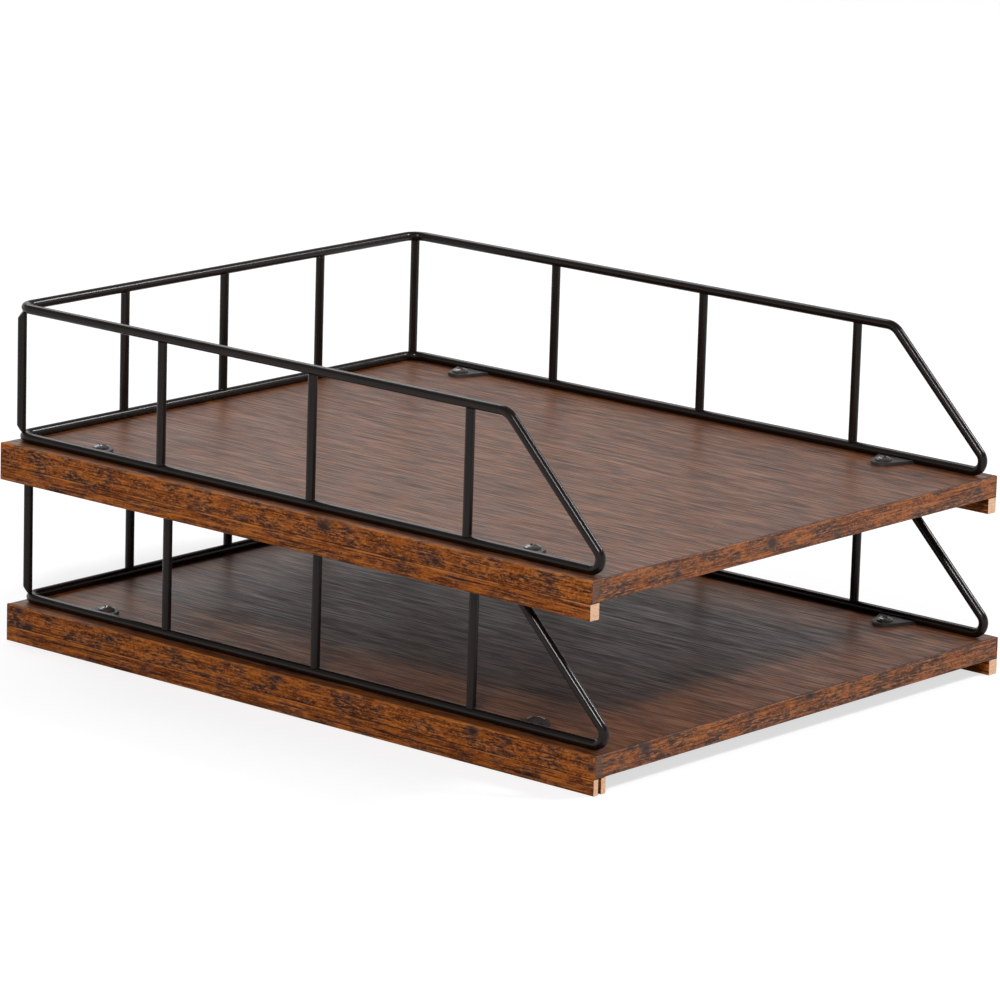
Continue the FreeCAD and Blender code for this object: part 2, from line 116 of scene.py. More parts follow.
class ShelfLaminate(bpy.types.PropertyGroup):
    """Colours and grain of the laminate and of the fibreboard under it."""
    dark: colour("Dark grain", "Darkest flecks, streaks and knots of the printed walnut", "#1e0902")
    brown: colour("Walnut brown", "Browner ground of the printed walnut", "#502107")
    orange: colour("Walnut orange", "Warmer ground of the printed walnut", "#8d480d")
    # Light grain is also laid as the painted highlight along the side bands' upper edge.
    tan: colour("Light grain", "Lightest streaks of the printed walnut", "#b56c2e")
    grey: colour("Veils and wear", "Greyish brown veils, rims of knots and worn corners", "#553d34")
    face_dark: colour("Dark grain of the faces", "Darkest streaks on the boards' faces", "#1c0b04")
    face_brown: colour("Brown of the faces", "Browner ground of the boards' faces", "#4a220c")
    face_orange: colour("Warm brown of the faces", "Warmer ground of the boards' faces", "#6f3b14")
    face_tan: colour("Light grain of the faces", "Lightest streaks on the boards' faces", "#935f36")
    core: colour("Bare fibreboard", "Cut ends of the runners", "#ecc2a0")
    core_fibre: colour("Fibres", "Darker fibres in the cut ends", "#d6a580")
    streak_width: length("Streak width", "Fine streaks across the grain", 0.55)
    streak_length: length("Streak length", "Fine streaks along the grain", 24)
    figure_width: length("Figure width", "Broad warm and brown bands across the grain", 2.8)
    figure_length: length("Figure length", "Broad warm and brown bands along the grain", 13)
    fleck_width: length("Fleck width", "Flecks across the grain", 0.8)
    fleck_length: length("Fleck length", "Flecks along the grain", 3.6)
    speck: length("Specks", "Fine light and dark specks of the print", 0.6)
    knot_space: length("Knot spacing", "Usual distance between knots along the grain", 34)
    emboss: length("Embossing", "Depth of the grain that is pressed into the melamine", 0.08)
    fibre: length("Fibres' size", "Fibres in the cut ends, coarser than real so that they show", 0.7)


class ShelfCoat(bpy.types.PropertyGroup):
    """Finish of the wire guards and of the screws."""
    black: colour("Coat", "Powder coat on the wire", "#120a07")
    screw: colour("Screw", "Black oxide on the screws", "#3a3230")
    peel: length("Orange peel", "Ripples in the powder coat", 1.1)
    weld_ripple: length("Weld ripples", "Ripples in the powder coat over weld metal", 0.35)
    screw_grit: length("Screw grit", "Grit of the oxide, coarser than real so that it shows", 0.4)
    cloud: length("Clouds", "Patches where the coat is a little lighter and duller", 9)


class ShelfJoints(bpy.types.PropertyGroup):
    """Sizes of the welds and of the screws."""
    wire: length("Wire", "Thickness of the guard's wire", 4.0)
    bead: length("Weld bead", "Thickness of the weld round a bar's end", 0.7)
    tack_length: length("Tack weld", "Length of the weld at each side of a tab", 2.2)
    tack_width: length("Tack width", "Width of the weld at each side of a tab", 1.1)
    uneven: length("Unevenness", "How far the weld metal strays from an even surface", 0.05)
    head_width: length("Screw head", "Width of a screw's head", 6.8)
    head_rim: length("Head rim", "Straight edge of a screw's head below its dome", 0.8)
    shank: length("Shank", "Thickness of a screw's shank", 3.5)
    point: length("Point", "Length of a screw's point", 2.5)
    recess_span: length("Recess", "Cross recess from end to end", 4.4)
    recess_width: length("Recess width", "Width of a wing of the cross recess", 1.1)
    recess_depth: length("Recess depth", "Depth of the cross recess", 1.5)
    head_steps: IntProperty(name="Head steps", description="Rings in a screw's domed head",
                            default=6, min=3, max=12)


class ShelfStage(bpy.types.PropertyGroup):
    """Camera, lamps and floor."""
    camera_place: FloatVectorProperty(name="Camera", description="Where the camera stands",
                                      default=(-1.6780, -1.4241, 0.5870), subtype="XYZ", unit="LENGTH")
    yaw: angle("Yaw", "Camera turned from the shelf's depth towards its right", 49.666)
    pitch: angle("Pitch", "Camera tipped down", -13.32)
    roll: angle("Roll", "Camera turned about its own line of sight", 1.703)
    lens: FloatProperty(name="Lens", description="Focal length on a 36 mm wide sensor, in millimetres",
                        default=198.89, min=1)
    sky: FloatProperty(name="Sky", description="Strength of the even light from all round",
                       default=0.34, min=0)
    key: power("Key lamp", "Soft box in front of the left corner, in watts", 40)
    fill: power("Fill lamp", "Soft box at the front right, in watts", 24)
    back: power("Back lamp", "Soft box above the rear, in watts", 18)
    floor: colour("Floor", "Plain pale floor", "#e9e9e9")


def deselect():
    """Clears the selection, so that an operator acts only on what comes next."""
    bpy.ops.object.select_all(action="DESELECT")


def select_only(piece):
    """Makes one piece the active and only selected one."""
    deselect()
    piece.select_set(True)
    bpy.context.view_layer.objects.active = piece


def edit_all(piece):
    """Enters edit mode with the whole piece selected."""
    select_only(piece)
    bpy.ops.object.mode_set(mode="EDIT")
    bpy.ops.mesh.select_all(action="SELECT")


def leave_edit():
    """Goes back to object mode."""
    bpy.ops.object.mode_set(mode="OBJECT")


def pick_faces(piece, wanted):
    """Selects those faces that are wanted, in edit mode."""
    bpy.ops.object.mode_set(mode="OBJECT")
    for vertex in piece.data.vertices:
        vertex.select = False
    for edge in piece.data.edges:
        edge.select = False
    for face in piece.data.polygons:
        face.select = wanted(face)
    bpy.ops.object.mode_set(mode="EDIT")
    bpy.ops.mesh.select_mode(type="FACE")


def extrude(move):
    """Extrudes what is selected by a move."""
    bpy.ops.mesh.extrude_region_move(TRANSFORM_OT_translate={"value": move})


def narrow(share):
    """Draws what is selected in towards the origin's upright axis, to a share of its width."""
    bpy.ops.transform.resize(value=(share, share, 1), center_override=(0, 0, 0))


def copy_piece(piece, name, place):
    """A copy with its own mesh, set where the matrix says."""
    twin = piece.copy()
    twin.data = piece.data.copy()
    twin.name = name
    twin.data.name = name
    twin.data.transform(place)
    bpy.context.scene.collection.objects.link(twin)
    return twin


def join(pieces, name):
    """Joins pieces into one object."""
    deselect()
    for piece in pieces:
        piece.select_set(True)
    bpy.context.view_layer.objects.active = pieces[0]
    bpy.ops.object.join()
    pieces[0].name = name
    pieces[0].data.name = name
    return pieces[0]


def remove(piece):
    """Deletes a piece that was only a pattern or a cutter."""
    bpy.data.objects.remove(piece, do_unlink=True)


def finish_piece(piece, material, body):
    """Gives a new piece its material, its smooth faces and the body that it rides on."""
    piece.data.materials.clear()
    piece.data.materials.append(material)
    select_only(piece)
    bpy.ops.object.shade_smooth_by_angle(angle=SMOOTH_UP_TO)
    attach(piece, body)


def cad(name):
    """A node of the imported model."""
    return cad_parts[name]


def coat_node(name, *materials):
    """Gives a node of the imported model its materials."""
    slots = cad(name).data.materials
    slots.clear()
    for material in materials:
        slots.append(material)


def add_node(tree, kind, inputs=None, **settings):
    """Adds a shader node. An input is a value, or the socket that feeds it."""
    node = tree.nodes.new(kind)
    for name, setting in settings.items():
        setattr(node, name, setting)
    for name, source in (inputs or {}).items():
        if isinstance(source, bpy.types.NodeSocket):
            tree.links.new(source, node.inputs[name])
        else:
            node.inputs[name].default_value = source
    return node


def new_material(name):
    """An empty node material and its tree."""
    material = bpy.data.materials.new(name)
    material.use_nodes = True
    material.node_tree.nodes.clear()
    return material, material.node_tree


def grain_noise(tree, point, width, run, along, detail, shift=0.0):
    """Noise stretched along the grain.

    width and run are the real size of one patch, in metres, and the shift keeps two patterns apart.
    """
    scale = {"X": (1 / run, 1 / width, 1 / width), "Y": (1 / width, 1 / run, 1 / width)}[along]
    place = add_node(tree, "ShaderNodeMapping",
                     {"Vector": point, "Scale": scale, "Location": (shift, shift, shift)})
    noise = add_node(tree, "ShaderNodeTexNoise",
                     {"Vector": place.outputs["Vector"], "Scale": 1.0, "Detail": detail, "Roughness": 0.6})
    return noise.outputs["Fac"]


def weigh(tree, parts):
    """The sum of sockets, each times its weight."""
    total = 0.0
    for socket, weight in parts:
        step = add_node(tree, "ShaderNodeMath", {0: socket, 1: weight, 2: total}, operation="MULTIPLY_ADD")
        total = step.outputs[0]
    return total


def lay_over(tree, under, over, fades, cover=1.0):
    """Lays one colour over another, covering at most the given share of it.

    Each fade is a pattern with two of its values: the first lets nothing through, and the second lets all.
    """
    share = cover
    for pattern, start, full in fades:
        fade = add_node(tree, "ShaderNodeMapRange", {
            "Value": pattern,
            "From Min": start,
            "From Max": full,
            "To Min": 0.0,
            "To Max": share,
        })
        share = fade.outputs["Result"]
    mix = add_node(tree, "ShaderNodeMix", {"Factor": share, "A": under, "B": over}, data_type="RGBA")
    return mix.outputs["Result"]


def line_fade(tree, height, level, reach):
    """The fade of a soft line at one height, which ends at its reach to each side."""
    full_share = 0.3
    offset = add_node(tree, "ShaderNodeMath", {0: height, 1: level}, operation="SUBTRACT")
    away = add_node(tree, "ShaderNodeMath", {0: offset.outputs[0]}, operation="ABSOLUTE")
    return away.outputs[0], reach, reach * full_share


def knot_distance(tree, point, look, grain, spread, rough):
    """Distance to the nearest knot, as a share of the usual spacing, with a ragged outline.

    There is one knot to a cell, and the cells are shorter across the grain than along it. Each cell adds a
    random part of its own, so some have a large knot, some a small one and most none.
    """
    closer_across = 1.6
    raggedness = 0.26
    chance_weight = 0.2
    along, across = grain
    space = look.knot_space * spread
    parts = add_node(tree, "ShaderNodeSeparateXYZ", {0: point}).outputs
    run = add_node(tree, "ShaderNodeMath", {0: parts[along], 1: 1 / space}, operation="MULTIPLY")
    rise = add_node(tree, "ShaderNodeMath", {0: parts[across], 1: closer_across / space},
                    operation="MULTIPLY")
    place = add_node(tree, "ShaderNodeCombineXYZ", {"X": run.outputs[0], "Y": rise.outputs[0]})
    cells = add_node(tree, "ShaderNodeTexVoronoi", {"Vector": place.outputs[0], "Scale": 1.0},
                     voronoi_dimensions="2D")
    chance = add_node(tree, "ShaderNodeSeparateColor", {0: cells.outputs["Color"]}).outputs["Red"]
    return weigh(tree, ((cells.outputs["Distance"], spread), (rough, raggedness), (chance, chance_weight)))


def walnut_laminate(name, look, grain, tones, flecks, streaks, knots, roughness, specular, marks=None):
    """Melamine-faced fibreboard with a printed rustic walnut grain.

    Warm and brown bands lie along the piece, with greyish veils, fine light and dark streaks, clusters of
    short dark flecks and a few small knots over them. The semi-gloss melamine is lightly embossed along the
    print, so its highlights are soft and streaky.

    grain names the axes along and across it, and tones are its dark, brown, orange and tan. flecks and
    streaks say how strongly each is printed, and knots how many usual distances lie between two of them.
    """
    material, tree = new_material(name)
    along = grain[0]
    dark, brown, orange, tan = tones
    point = add_node(tree, "ShaderNodeTexCoord").outputs["Object"]
    figure = grain_noise(tree, point, look.figure_width, look.figure_length, along, detail=2.0, shift=11.0)
    streak = grain_noise(tree, point, look.streak_width, look.streak_length, along, detail=2.0)
    fleck = grain_noise(tree, point, look.fleck_width, look.fleck_length, along, detail=3.0, shift=23.0)
    cluster = grain_noise(tree, point, look.figure_width * 2, look.figure_length, along, detail=1.0,
                          shift=71.0)
    speck = grain_noise(tree, point, look.speck, look.speck * 2, along, detail=2.0, shift=5.0)
    clustered = weigh(tree, ((fleck, 0.65), (cluster, 0.35)))
    knot = knot_distance(tree, point, look, grain, knots, fleck)

    # Each layer of the print: its pattern, where that starts and is full, the share it covers, its colour.
    layers = (
        (figure, 0.4, 0.6, 1.0, orange),
        (cluster, 0.48, 0.62, 0.55 * flecks, look.grey),
        (speck, 0.53, 0.68, 0.65 * flecks, tan),
        (speck, 0.45, 0.3, 0.7 * flecks, dark),
        (streak, 0.53, 0.68, 0.7 * streaks, tan),
        (fleck, 0.46, 0.34, 0.7 * flecks, tan),
        (streak, 0.46, 0.34, 0.9 * streaks, dark),
        (clustered, 0.52, 0.61, 0.8 * flecks, dark),
        (knot, 0.29, 0.24, 0.5, look.grey),
        (knot, 0.24, 0.2, 0.85, dark),
    )
    shade = brown
    for pattern, start, full, cover, tone in layers:
        shade = lay_over(tree, shade, tone, [(pattern, start, full)], cover)
    if marks:
        shade = marks(tree, point, shade, look)

    # The dark streaks are duller than the rest of the print, and the light ones glossier.
    duller, glossier = 0.16, 0.08
    gloss = add_node(tree, "ShaderNodeMapRange", {
        "Value": streak,
        "From Min": 0.38,
        "From Max": 0.62,
        "To Min": roughness + duller,
        "To Max": roughness - glossier,
    })
    height = weigh(tree, ((streak, 0.6), (fleck, 0.4)))
    relief = add_node(tree, "ShaderNodeBump", {"Strength": 0.35, "Distance": look.emboss, "Height": height})
    surface = add_node(tree, "ShaderNodeBsdfPrincipled", {
        "Base Color": shade,
        "Roughness": gloss.outputs["Result"],
        "IOR": 1.48,
        "Specular IOR Level": specular,
        "Normal": relief.outputs["Normal"],
    })
    add_node(tree, "ShaderNodeOutputMaterial", {"Surface": surface.outputs["BSDF"]})
    return material


def tray_height(tree, point):
    """Height above the underside of either tray; the two trays stand one pitch apart."""
    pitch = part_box("upper_board")[0].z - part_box("lower_board")[0].z
    height = add_node(tree, "ShaderNodeSeparateXYZ", {0: point}).outputs["Z"]
    return add_node(tree, "ShaderNodeMath", {0: height, 1: pitch}, operation="MODULO").outputs[0]


def side_marks(tree, point, shade, look):
    """Marks on a side band: a painted highlight along its upper edge, and the dark seam over the lath."""
    height = tray_height(tree, point)
    low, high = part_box("lower_left_band")
    patches = grain_noise(tree, point, width=4 * MM, run=12 * MM, along="Y", detail=2.0, shift=43.0)
    # Painted highlight: a light line just under the upper edge stands in for light caught by the eased
    # edge.
    light_edge_line = line_fade(tree, height, level=high.z - 0.2 * MM, reach=0.6 * MM)
    shade = lay_over(tree, shade, look.tan, [light_edge_line, (patches, 0.4, 0.6)], cover=0.5)
    seam = line_fade(tree, height, level=low.z, reach=0.45 * MM)
    return lay_over(tree, shade, look.dark, [seam], cover=0.85)


def end_marks(tree, point, shade, look):
    """Marks on a front or rear band: dark lines along both edges, and wear at its left end."""
    height = tray_height(tree, point)
    low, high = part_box("lower_front_band")
    upper_edge = line_fade(tree, height, level=high.z, reach=0.4 * MM)
    lower_edge = line_fade(tree, height, level=low.z, reach=0.4 * MM)
    shade = lay_over(tree, shade, look.dark, [upper_edge], cover=0.7)
    shade = lay_over(tree, shade, look.dark, [lower_edge], cover=0.6)
    patches = grain_noise(tree, point, width=1.5 * MM, run=3 * MM, along="X", detail=2.0, shift=51.0)
    across = add_node(tree, "ShaderNodeSeparateXYZ", {0: point}).outputs["X"]
    ragged = weigh(tree, ((across, 1.0), (patches, 5 * MM)))
    normal = add_node(tree, "ShaderNodeNewGeometry").outputs["Normal"]
    depthwise = add_node(tree, "ShaderNodeSeparateXYZ", {0: normal}).outputs["Y"]
    broad_side = add_node(tree, "ShaderNodeMath", {0: depthwise}, operation="ABSOLUTE").outputs[0]
    left_end = (ragged, low.x + 8 * MM, low.x + 5 * MM)
    return lay_over(tree, shade, look.grey, [left_end, (broad_side, 0.8, 0.9)], cover=0.75)


def lath_marks(tree, point, shade, look):
    """Marks on a lath: a light line, here and there, along the edge under the band."""
    height = tray_height(tree, point)
    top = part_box("lower_left_outer_lath")[1].z
    patches = grain_noise(tree, point, width=6 * MM, run=18 * MM, along="Y", detail=2.0, shift=37.0)
    light_edge_line = line_fade(tree, height, level=top - 0.3 * MM, reach=0.35 * MM)
    return lay_over(tree, shade, look.tan, [light_edge_line, (patches, 0.45, 0.55)], cover=0.8)


def sawn_fibreboard(name, look):
    """Sawn medium-density fibreboard: a pale tan felt of fine fibres, quite matt."""
    material, tree = new_material(name)
    point = add_node(tree, "ShaderNodeTexCoord").outputs["Object"]
    fibres = add_node(tree, "ShaderNodeTexNoise", {"Vector": point, "Scale": 1 / look.fibre, "Detail": 4.0})
    clumps = fibres.outputs["Fac"]
    felt = lay_over(tree, look.core_fibre, look.core, [(clumps, 0.35, 0.6)])
    relief = add_node(tree, "ShaderNodeBump", {"Strength": 0.4, "Distance": 0.1 * MM, "Height": clumps})
    surface = add_node(tree, "ShaderNodeBsdfPrincipled", {
        "Base Color": felt,
        "Roughness": 0.85,
        "IOR": 1.5,
        "Normal": relief.outputs["Normal"],
    })
    add_node(tree, "ShaderNodeOutputMaterial", {"Surface": surface.outputs["BSDF"]})
    return material


def dark_coat(name, look, shade, ripple, roughness, specular):
    """Satin powder coat, or black oxide, on steel: brown-black, its soft highlights broken by fine ripples.

    Faint clouds in the coat are a little lighter and duller than the rest.
    """
    material, tree = new_material(name)
    point = add_node(tree, "ShaderNodeTexCoord").outputs["Object"]
    ripples = add_node(tree, "ShaderNodeTexNoise", {"Vector": point, "Scale": 1 / ripple, "Detail": 2.0})
    clouds = add_node(tree, "ShaderNodeTexNoise", {"Vector": point, "Scale": 1 / look.cloud, "Detail": 2.0})
    cloudiness = clouds.outputs["Fac"]
    lighten = 1.35
    lighter = tuple(min(part * lighten, 1.0) for part in shade[:3]) + (1.0,)
    cloudy = lay_over(tree, shade, lighter, [(cloudiness, 0.35, 0.65)])
    glossier, duller = 0.04, 0.05
    gloss = add_node(tree, "ShaderNodeMapRange", {
        "Value": cloudiness,
        "From Min": 0.3,
        "From Max": 0.7,
        "To Min": roughness - glossier,
        "To Max": roughness + duller,
    })
    relief = add_node(tree, "ShaderNodeBump",
                      {"Strength": 0.12, "Distance": 0.03 * MM, "Height": ripples.outputs["Fac"]})
    surface = add_node(tree, "ShaderNodeBsdfPrincipled", {
        "Base Color": cloudy,
        "Roughness": gloss.outputs["Result"],
        "IOR": 1.5,
        "Specular IOR Level": specular,
        "Normal": relief.outputs["Normal"],
    })
    add_node(tree, "ShaderNodeOutputMaterial", {"Surface": surface.outputs["BSDF"]})
    return material


class SHELF_OT_boards(bpy.types.Operator):
    """Finish the boards, their edge bands and the runners in walnut laminate"""
    bl_idname = "shelf.boards"
    bl_label = "Boards and Runners"

    def execute(self, context):
        look = context.scene.shelf_laminate
        edge_tones = (look.dark, look.brown, look.orange, look.tan)
        face_tones = (look.face_dark, look.face_brown, look.face_orange, look.face_tan)
        face = walnut_laminate("Walnut melamine face", look, "YX", face_tones,
                               flecks=0.3, streaks=1.0, knots=2.0, roughness=0.42, specular=0.5)
        side = walnut_laminate("Walnut melamine edge band, lengthways", look, "YZ", edge_tones,
                               flecks=1.0, streaks=0.7, knots=0.6, roughness=0.5, specular=0.15,
                               marks=side_marks)
        end = walnut_laminate("Walnut melamine edge band, crossways", look, "XZ", edge_tones,
                              flecks=1.0, streaks=0.7, knots=0.6, roughness=0.44, specular=0.4,
                              marks=end_marks)
        foil = walnut_laminate("Walnut foil on fibreboard lath", look, "YZ", edge_tones,
                               flecks=0.6, streaks=1.0, knots=0.8, roughness=0.5, specular=0.15,
                               marks=lath_marks)
        core = sawn_fibreboard("Sawn fibreboard", look)
        for tray in TRAYS:
            coat_node(tray + "_board", face)
            for name in SIDES:
                coat_node("%s_%s_band" % (tray, name), side)
            for name in ENDS:
                coat_node("%s_%s_band" % (tray, name), end)
            for name in LATHS:
                coat_node("%s_%s" % (tray, name), foil, core)
                # The sawn ends show the bare fibreboard.
                for patch in cad("%s_%s" % (tray, name)).data.polygons:
                    patch.material_index = 1 if abs(patch.normal.y) > FACING else 0
        return {"FINISHED"}


class SHELF_OT_guards(bpy.types.Operator):
    """Finish the wire guards, their bars and tabs in satin powder coat"""
    bl_idname = "shelf.guards"
    bl_label = "Wire Guards"

    def execute(self, context):
        look = context.scene.shelf_coat
        coat = dark_coat("Satin black powder coat on steel wire", look, look.black, look.peel,
                         roughness=0.23, specular=0.26)
        plate = dark_coat("Satin black powder coat on steel plate", look, look.black, look.peel,
                          roughness=0.5, specular=1.0)
        side_bars = ["%s_%s" % (side, bar) for side in SIDES for bar in SIDE_BARS]
        for tray in TRAYS:
            for name in ("guard_wire", *CORNER_BARS, *side_bars, *REAR_BARS):
                coat_node("%s_%s" % (tray, name), coat)
            for name in TABS:
                coat_node("%s_%s" % (tray, name), plate)
        return {"FINISHED"}


def model_screw(look, high, below):
    """A pan-head screw, its head's underside at the origin's height: dome, cross recess, shank and point.

    high is the height of the head, and below is the length of what is under it.
    """
    head = look.head_width / 2
    rim = look.head_rim
    dome = high - rim
    ball = (head * head + dome * dome) / (2 * dome)
    deselect()
    bpy.ops.mesh.primitive_cylinder_add(vertices=40, radius=head, depth=rim, location=(0, 0, rim / 2))
    screw = bpy.context.object
    bpy.ops.object.transform_apply(location=True)
    pick_faces(screw, lambda face: face.normal.z > FACING)
    radius, level = head, rim
    steps = look.head_steps
    for step in range(1, steps):
        turn = math.asin(head / ball) * (1 - step / steps)
        next_radius = ball * math.sin(turn)
        next_level = rim + ball * math.cos(turn) - (ball - dome)
        extrude((0, 0, next_level - level))
        narrow(next_radius / radius)
        radius, level = next_radius, next_level
    pick_faces(screw, lambda face: face.normal.z < -FACING)
    bpy.ops.mesh.inset(thickness=head - look.shank / 2)
    extrude((0, 0, look.point - below))
    extrude((0, 0, -look.point))
    blunt_tip = 0.05
    narrow(blunt_tip)
    leave_edit()
    cut_recess(screw, look, high)
    return screw


def cut_recess(screw, look, high):
    """Cuts the cross recess: a small block grows four wings and narrows downwards."""
    half = look.recess_width / 2
    off_line = half * 0.1
    bottom_share = 0.55
    deselect()
    bpy.ops.mesh.primitive_cube_add(size=look.recess_width, location=(0, 0, high))
    cutter = bpy.context.object
    bpy.ops.object.transform_apply(location=True)
    for across in (Vector((1, 0, 0)), Vector((-1, 0, 0)), Vector((0, 1, 0)), Vector((0, -1, 0))):
        pick_faces(cutter, lambda face: face.normal.dot(across) > FACING
                   and abs(face.center.cross(across).z) < off_line)
        extrude(across * (look.recess_span / 2 - half))
    pick_faces(cutter, lambda face: face.normal.z < -FACING)
    bpy.ops.transform.translate(value=(0, 0, half - look.recess_depth))
    narrow(bottom_share)
    leave_edit()
    select_only(screw)
    cut = screw.modifiers.new("Recess", "BOOLEAN")
    cut.object = cutter
    cut.solver = "EXACT"
    bpy.ops.object.modifier_apply(modifier=cut.name)
    remove(cutter)


class SHELF_OT_screws(bpy.types.Operator):
    """Model the cross-head screws that hold each guard's tabs to its board"""
    bl_idname = "shelf.screws"
    bl_label = "Screws"

    def execute(self, context):
        finish = context.scene.shelf_coat
        look = context.scene.shelf_joints
        oxide = dark_coat("Black oxide on steel screw", finish, finish.screw, finish.screw_grit,
                          roughness=0.17, specular=0.9)
        head = look.head_width / 2
        pattern = None
        for tray in TRAYS:
            low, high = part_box(tray + "_tab_screws")
            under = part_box(tray + "_left_front_tab")[1].z
            if pattern is None:
                pattern = model_screw(look, high.z - under, under - low.z)
            spots = [(x, y) for y in (low.y + head, high.y - head) for x in (low.x + head, high.x - head)]
            copies = []
            for number, (x, y) in enumerate(spots):
                # Each screw was driven home to a turn of its own.
                degrees = 17 + 53 * number
                turned = Matrix.Rotation(math.radians(degrees), 4, "Z")
                place = Matrix.Translation((x, y, under)) @ turned
                copies.append(copy_piece(pattern, "%s_screw_%d" % (tray, number), place))
            screws = join(copies, tray + "_cross_head_screws")
            finish_piece(screws, oxide, tray + "_tray")
            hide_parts(tray + "_tab_screws")
        remove(pattern)
        return {"FINISHED"}


def model_bead(look, bar_radius):
    """The ring of weld that a bar's end pushes up against a rail lying along Y above it."""
    thick = look.bead / 2
    sunk = thick * 0.6
    # The rail curves away across its line, so the ring is narrower there. It is also a little flat.
    fitted_to_rail = (0.86, 1.0, 0.9)
    deselect()
    bpy.ops.mesh.primitive_torus_add(major_segments=28, minor_segments=8,
                                     major_radius=bar_radius - sunk, minor_radius=thick)
    bead = bpy.context.object
    edit_all(bead)
    bpy.ops.transform.resize(value=fitted_to_rail)
    bpy.ops.transform.vertex_random(offset=look.uneven, seed=3)
    leave_edit()
    return bead


def model_tack(look):
    """A tack weld: a short drawn-out bead lying along Y, a little flat and uneven."""
    drawn_out = look.tack_length / look.tack_width
    flattened = 0.8
    deselect()
    bpy.ops.mesh.primitive_ico_sphere_add(subdivisions=3, radius=look.tack_width / 2)
    tack = bpy.context.object
    edit_all(tack)
    bpy.ops.transform.resize(value=(1, drawn_out, flattened))
    bpy.ops.transform.vertex_random(offset=look.uneven, seed=7)
    leave_edit()
    return tack


def bar_joints(tray, wire):
    """The matrices that set a bead where each upright bar meets the lower rail and the upper one."""
    low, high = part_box(tray + "_guard_wire")
    bars = [("%s_%s" % (side, bar), 0) for side in SIDES for bar in SIDE_BARS]
    bars += [(bar, 90) for bar in REAR_BARS]
    for bar, turn in bars:
        start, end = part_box("%s_%s" % (tray, bar))
        middle = (start + end) / 2
        for joint, flip in ((low.z + wire, 180), (high.z - wire, 0)):
            turned = Matrix.Rotation(math.radians(turn), 4, "Z")
            turned @= Matrix.Rotation(math.radians(flip), 4, "X")
            yield Matrix.Translation((middle.x, middle.y, joint)) @ turned


def tab_joints(tray):
    """The matrices that set a tack at each side of each tab, where the tab meets the rail."""
    from_edge = 0.5 * MM
    from_side = 0.6 * MM
    sunk = 0.1 * MM
    for tab in TABS:
        start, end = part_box("%s_%s" % (tray, tab))
        edge = start.x + from_edge if "left" in tab else end.x - from_edge
        for y in (start.y + from_side, end.y - from_side):
            yield Matrix.Translation((edge, y, end.z - sunk))


class SHELF_OT_welds(bpy.types.Operator):
    """Add the welds between the bars, the tabs and the rails"""
    bl_idname = "shelf.welds"
    bl_label = "Welds"

    def execute(self, context):
        finish = context.scene.shelf_coat
        look = context.scene.shelf_joints
        coat = dark_coat("Powder coat over weld metal", finish, finish.black, finish.weld_ripple,
                         roughness=0.18, specular=0.5)
        bar_low, bar_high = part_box("lower_left_middle_bar")
        bead = model_bead(look, (bar_high.x - bar_low.x) / 2)
        tack = model_tack(look)
        for tray in TRAYS:
            copies = [copy_piece(bead, tray + "_bead", place) for place in bar_joints(tray, look.wire)]
            copies += [copy_piece(tack, tray + "_tack", place) for place in tab_joints(tray)]
            welds = join(copies, tray + "_welds")
            finish_piece(welds, coat, tray + "_tray")
        remove(bead)
        remove(tack)
        return {"FINISHED"}


def hang_lamp(name, place, size, watts):
    """A square soft box that looks at the shelf's middle."""
    light = bpy.data.lights.new(name, "AREA")
    light.shape = "SQUARE"
    light.size = size
    light.energy = watts
    stand = bpy.data.objects.new(name, light)
    stand.location = place
    stand.rotation_euler = (Vector(LAMPS_AIM) - Vector(place)).to_track_quat("-Z", "Y").to_euler()
    bpy.context.scene.collection.objects.link(stand)


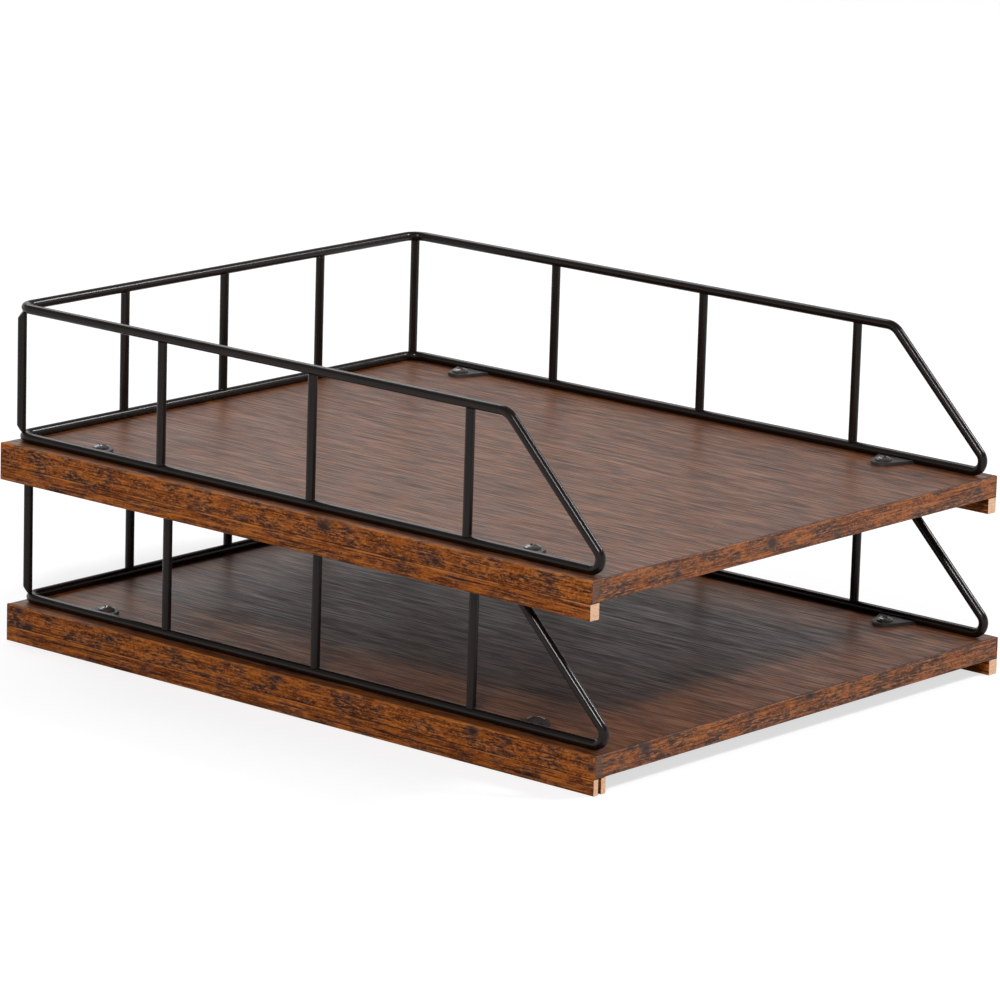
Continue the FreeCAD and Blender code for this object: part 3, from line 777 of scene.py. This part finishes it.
class SHELF_OT_stage(bpy.types.Operator):
    """Set the floor, the soft lamps and the camera"""
    bl_idname = "shelf.stage"
    bl_label = "Stage"

    def execute(self, context):
        look = context.scene.shelf_stage
        self.lay_floor(look)
        self.light(context.scene, look)
        self.aim_camera(context.scene, look)
        context.scene.view_settings.view_transform = "Standard"
        return {"FINISHED"}

    def lay_floor(self, look):
        """A pale floor that looks white, yet shows the shelf's soft shadow.

        The camera sees a glow with a thin matt grey over it, which the shadow darkens. Light and
        reflections meet only the plain matt floor.
        """
        thin_grey = (0.4, 0.4, 0.4, 1)
        glow_strength = 0.68
        deselect()
        bpy.ops.mesh.primitive_plane_add(size=FLOOR_SIDE)
        floor = bpy.context.object
        floor.name = "floor"
        material, tree = new_material("Matt white studio floor")
        matt = add_node(tree, "ShaderNodeBsdfDiffuse", {"Color": look.floor})
        faint = add_node(tree, "ShaderNodeBsdfDiffuse", {"Color": thin_grey})
        glow = add_node(tree, "ShaderNodeEmission", {"Color": WHITE, "Strength": glow_strength})
        bright = add_node(tree, "ShaderNodeAddShader", {0: faint.outputs[0], 1: glow.outputs[0]})
        ray = add_node(tree, "ShaderNodeLightPath").outputs
        both = add_node(tree, "ShaderNodeMixShader",
                        {0: ray["Is Camera Ray"], 1: matt.outputs[0], 2: bright.outputs[0]})
        add_node(tree, "ShaderNodeOutputMaterial", {"Surface": both.outputs[0]})
        floor.data.materials.append(material)

    def light(self, scene, look):
        """Even light from all round, and three soft boxes.

        The low backdrop is white to the camera and in reflections, and the studio above it is dimmer. The
        backdrop fades out between two heights, each the sine of an angle above the floor.
        """
        fade_from = 0.2
        fade_to = 0.5
        world = bpy.data.worlds.new("Studio")
        world.use_nodes = True
        scene.world = world
        tree = world.node_tree
        tree.nodes.clear()
        direction = add_node(tree, "ShaderNodeTexCoord").outputs["Generated"]
        height = add_node(tree, "ShaderNodeSeparateXYZ", {0: direction}).outputs["Z"]
        backdrop = add_node(tree, "ShaderNodeMapRange", {
            "Value": height,
            "From Min": fade_from,
            "From Max": fade_to,
            "To Min": 1.0,
            "To Max": 0.0,
        })
        ray = add_node(tree, "ShaderNodeLightPath").outputs
        reflected = add_node(tree, "ShaderNodeMath",
                             {0: ray["Is Glossy Ray"], 1: backdrop.outputs["Result"]}, operation="MULTIPLY")
        strength = look.sky
        for seen in (ray["Is Camera Ray"], ray["Is Transmission Ray"], reflected.outputs[0]):
            brighter = add_node(tree, "ShaderNodeMath", {0: seen, 1: strength}, operation="MAXIMUM")
            strength = brighter.outputs[0]
        white = add_node(tree, "ShaderNodeBackground", {"Color": WHITE, "Strength": strength})
        add_node(tree, "ShaderNodeOutputWorld", {"Surface": white.outputs[0]})
        for name, place, size in LAMPS:
            hang_lamp(name, place, size, getattr(look, name))

    def aim_camera(self, scene, look):
        """The camera at the photograph's angle."""
        data = bpy.data.cameras.new("Camera")
        data.lens = look.lens
        data.sensor_width = 36
        camera = bpy.data.objects.new("Camera", data)
        scene.collection.objects.link(camera)
        forward = Vector((math.sin(look.yaw) * math.cos(look.pitch),
                          math.cos(look.yaw) * math.cos(look.pitch),
                          math.sin(look.pitch)))
        right = Vector((math.cos(look.yaw), -math.sin(look.yaw), 0))
        up = right.cross(forward)
        aim = Matrix((right, up, -forward)).transposed() @ Matrix.Rotation(look.roll, 3, "Z")
        camera.matrix_world = Matrix.Translation(look.camera_place) @ aim.to_4x4()
        scene.camera = camera


STEPS = ("shelf.boards", "shelf.guards", "shelf.screws", "shelf.welds", "shelf.stage")


class SHELF_PT_panel(bpy.types.Panel):
    """Lists the shelf's pieces and their settings"""
    bl_label = "Desktop Shelf"
    bl_space_type = "VIEW_3D"
    bl_region_type = "UI"
    bl_category = "Desktop Shelf"

    def draw(self, context):
        scene = context.scene
        for name in STEPS:
            self.layout.operator(name)
        for group in (scene.shelf_laminate, scene.shelf_coat, scene.shelf_joints, scene.shelf_stage):
            box = self.layout.box()
            for name in group.__annotations__:
                box.prop(group, name)


CLASSES = (
    ShelfLaminate,
    ShelfCoat,
    ShelfJoints,
    ShelfStage,
    SHELF_OT_boards,
    SHELF_OT_guards,
    SHELF_OT_screws,
    SHELF_OT_welds,
    SHELF_OT_stage,
    SHELF_PT_panel,
)


def register():
    """Makes the classes and their settings known to the program."""
    for kind in CLASSES:
        bpy.utils.register_class(kind)
    bpy.types.Scene.shelf_laminate = PointerProperty(type=ShelfLaminate)
    bpy.types.Scene.shelf_coat = PointerProperty(type=ShelfCoat)
    bpy.types.Scene.shelf_joints = PointerProperty(type=ShelfJoints)
    bpy.types.Scene.shelf_stage = PointerProperty(type=ShelfStage)


def unregister():
    """Takes the settings and the classes away again."""
    del bpy.types.Scene.shelf_stage
    del bpy.types.Scene.shelf_joints
    del bpy.types.Scene.shelf_coat
    del bpy.types.Scene.shelf_laminate
    for kind in reversed(CLASSES):
        bpy.utils.unregister_class(kind)


def main():
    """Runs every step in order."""
    register()
    bpy.ops.shelf.boards()
    bpy.ops.shelf.guards()
    bpy.ops.shelf.screws()
    bpy.ops.shelf.welds()
    bpy.ops.shelf.stage()


if __name__ == "__main__":
    main()
